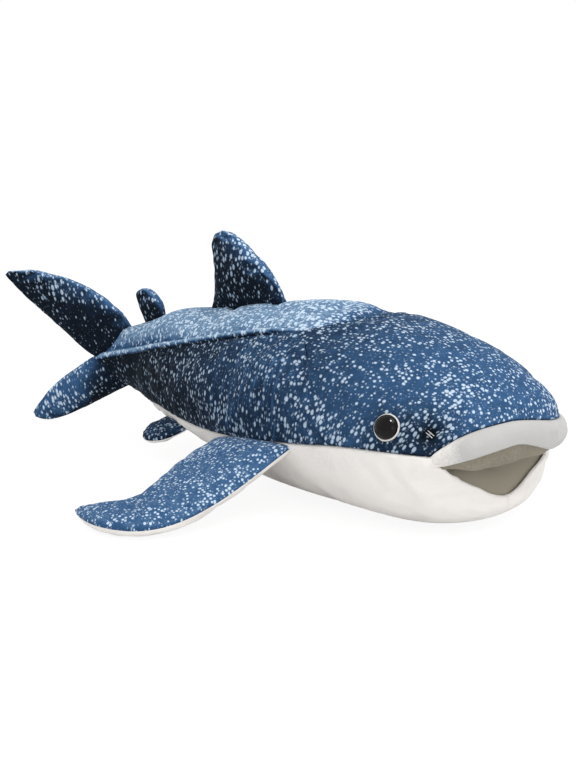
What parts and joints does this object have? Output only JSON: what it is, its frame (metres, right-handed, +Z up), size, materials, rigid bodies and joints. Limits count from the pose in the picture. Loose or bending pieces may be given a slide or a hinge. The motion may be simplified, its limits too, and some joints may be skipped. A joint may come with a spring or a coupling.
{
  "type": "plush whale shark",
  "caption": "Stuffed toy whale shark with spotted plush panels, white belly, open lined mouth, safety eyes, and fins and tail that bend on their root seams.",
  "frame": {"origin": "point of the flat belly patch that the toy rests on, below the widest part of the body", "axes": "+X to the snout, +Y to the shark's left, +Z up from the belly"},
  "size_m": [0.4134, 0.3318, 0.1424],
  "materials": {
    "spotted_blue_plush": "short pile plush printed with white spots",
    "white_plush": "short pile white plush",
    "mouth_lining": "smooth beige lining cloth",
    "stuffing": "loose polyester stuffing",
    "eye_gloss": "polished black",
    "eye_ring": "pale matt"
  },
  "bodies": {
    "body": {"trunk_fill": "stuffing", "head_fill": "stuffing", "jaw_fill": "stuffing", "back_panel": "spotted_blue_plush", "right_side_panel": "spotted_blue_plush", "left_side_panel": "spotted_blue_plush", "head_panel": "spotted_blue_plush", "belly_panel": "white_plush", "upper_lip": "white_plush", "palate_lining": "mouth_lining", "jaw_lining": "mouth_lining", "right_eye": "eye_gloss", "right_eye_ring": "eye_ring", "right_eye_washer": "eye_ring", "left_eye": "eye_gloss", "left_eye_ring": "eye_ring", "left_eye_washer": "eye_ring"},
    "right_pectoral_fin": {"right_pectoral_top": "spotted_blue_plush", "right_pectoral_under": "white_plush", "right_pectoral_fill": "stuffing"},
    "right_pelvic_fin": {"right_pelvic_top": "spotted_blue_plush", "right_pelvic_under": "white_plush", "right_pelvic_fill": "stuffing"},
    "left_pectoral_fin": {"left_pectoral_top": "spotted_blue_plush", "left_pectoral_under": "white_plush", "left_pectoral_fill": "stuffing"},
    "left_pelvic_fin": {"left_pelvic_top": "spotted_blue_plush", "left_pelvic_under": "white_plush", "left_pelvic_fill": "stuffing"},
    "dorsal_fin": {"dorsal_left": "spotted_blue_plush", "dorsal_right": "spotted_blue_plush", "dorsal_fill": "stuffing"},
    "second_dorsal_fin": {"second_dorsal_left": "spotted_blue_plush", "second_dorsal_right": "spotted_blue_plush", "second_dorsal_fill": "stuffing"},
    "tail": {"upper_lobe_left": "spotted_blue_plush", "upper_lobe_right": "spotted_blue_plush", "upper_lobe_fill": "stuffing", "lower_lobe_left": "spotted_blue_plush", "lower_lobe_right": "spotted_blue_plush", "lower_lobe_fill": "stuffing"}
  },
  "joints": [
    {"name": "right_pectoral_flap", "type": "hinge", "parent": "body", "child": "right_pectoral_fin", "pos_m": [-0.03221, -0.06562, 0.03347], "axis": [-0.9729, 0.1842, -0.14], "range_deg": [-20, 40], "stiffness_Nm_per_rad": 0.3},
    {"name": "left_pectoral_flap", "type": "hinge", "parent": "body", "child": "left_pectoral_fin", "pos_m": [-0.03221, 0.06562, 0.03347], "axis": [0.9729, 0.1842, 0.14], "range_deg": [-20, 40], "stiffness_Nm_per_rad": 0.3},
    {"name": "right_pelvic_flap", "type": "hinge", "parent": "body", "child": "right_pelvic_fin", "pos_m": [-0.13442, -0.0332, 0.02061], "axis": [-0.9422, 0.333, 0.0372], "range_deg": [-20, 30], "stiffness_Nm_per_rad": 0.06},
    {"name": "left_pelvic_flap", "type": "hinge", "parent": "body", "child": "left_pelvic_fin", "pos_m": [-0.13442, 0.0332, 0.02061], "axis": [0.9422, 0.333, -0.0372], "range_deg": [-20, 30], "stiffness_Nm_per_rad": 0.06},
    {"name": "dorsal_lean", "type": "hinge", "parent": "body", "child": "dorsal_fin", "pos_m": [-0.09831, 0, 0.10038], "axis": [-0.9804, 0, -0.197], "range_deg": [-35, 35], "stiffness_Nm_per_rad": 0.15},
    {"name": "second_dorsal_lean", "type": "hinge", "parent": "body", "child": "second_dorsal_fin", "pos_m": [-0.18791, 0, 0.07971], "axis": [-0.9668, 0, -0.2556], "range_deg": [-35, 35], "stiffness_Nm_per_rad": 0.05},
    {"name": "tail_sway", "type": "hinge", "parent": "body", "child": "tail", "pos_m": [-0.2156, 0, 0.0498], "axis": [0, 0, 1], "range_deg": [-75, 8], "stiffness_Nm_per_rad": 0.4}
  ]
}
